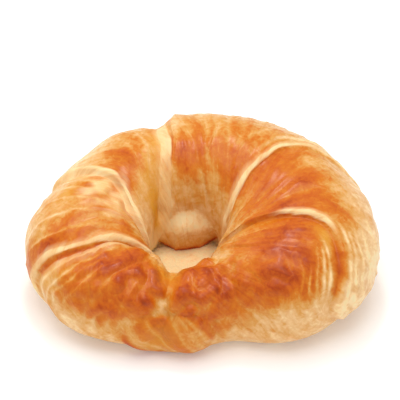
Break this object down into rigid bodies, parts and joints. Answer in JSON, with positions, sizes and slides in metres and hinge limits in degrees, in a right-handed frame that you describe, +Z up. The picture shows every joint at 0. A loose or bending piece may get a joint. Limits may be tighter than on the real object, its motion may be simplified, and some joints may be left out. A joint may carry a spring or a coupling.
{
  "type": "croissant",
  "caption": "Plump baked croissant, its horns bent round until they meet, so the overlapping wraps of dough ring a deep dimple; it rests on a flat base.",
  "frame": {"origin": "centre of the base's bounding rectangle, on the surface the croissant rests on", "axes": "+Z up from the flat base, +X towards the right shoulder along the length, +Y from the horns towards the crown"},
  "size_m": [0.1288, 0.0942, 0.049],
  "materials": {
    "crust": "egg-washed golden brown crust, satin, with paler dough in the seams and underneath"
  },
  "bodies": {
    "root": {"croissant": "crust"}
  },
  "joints": []
}
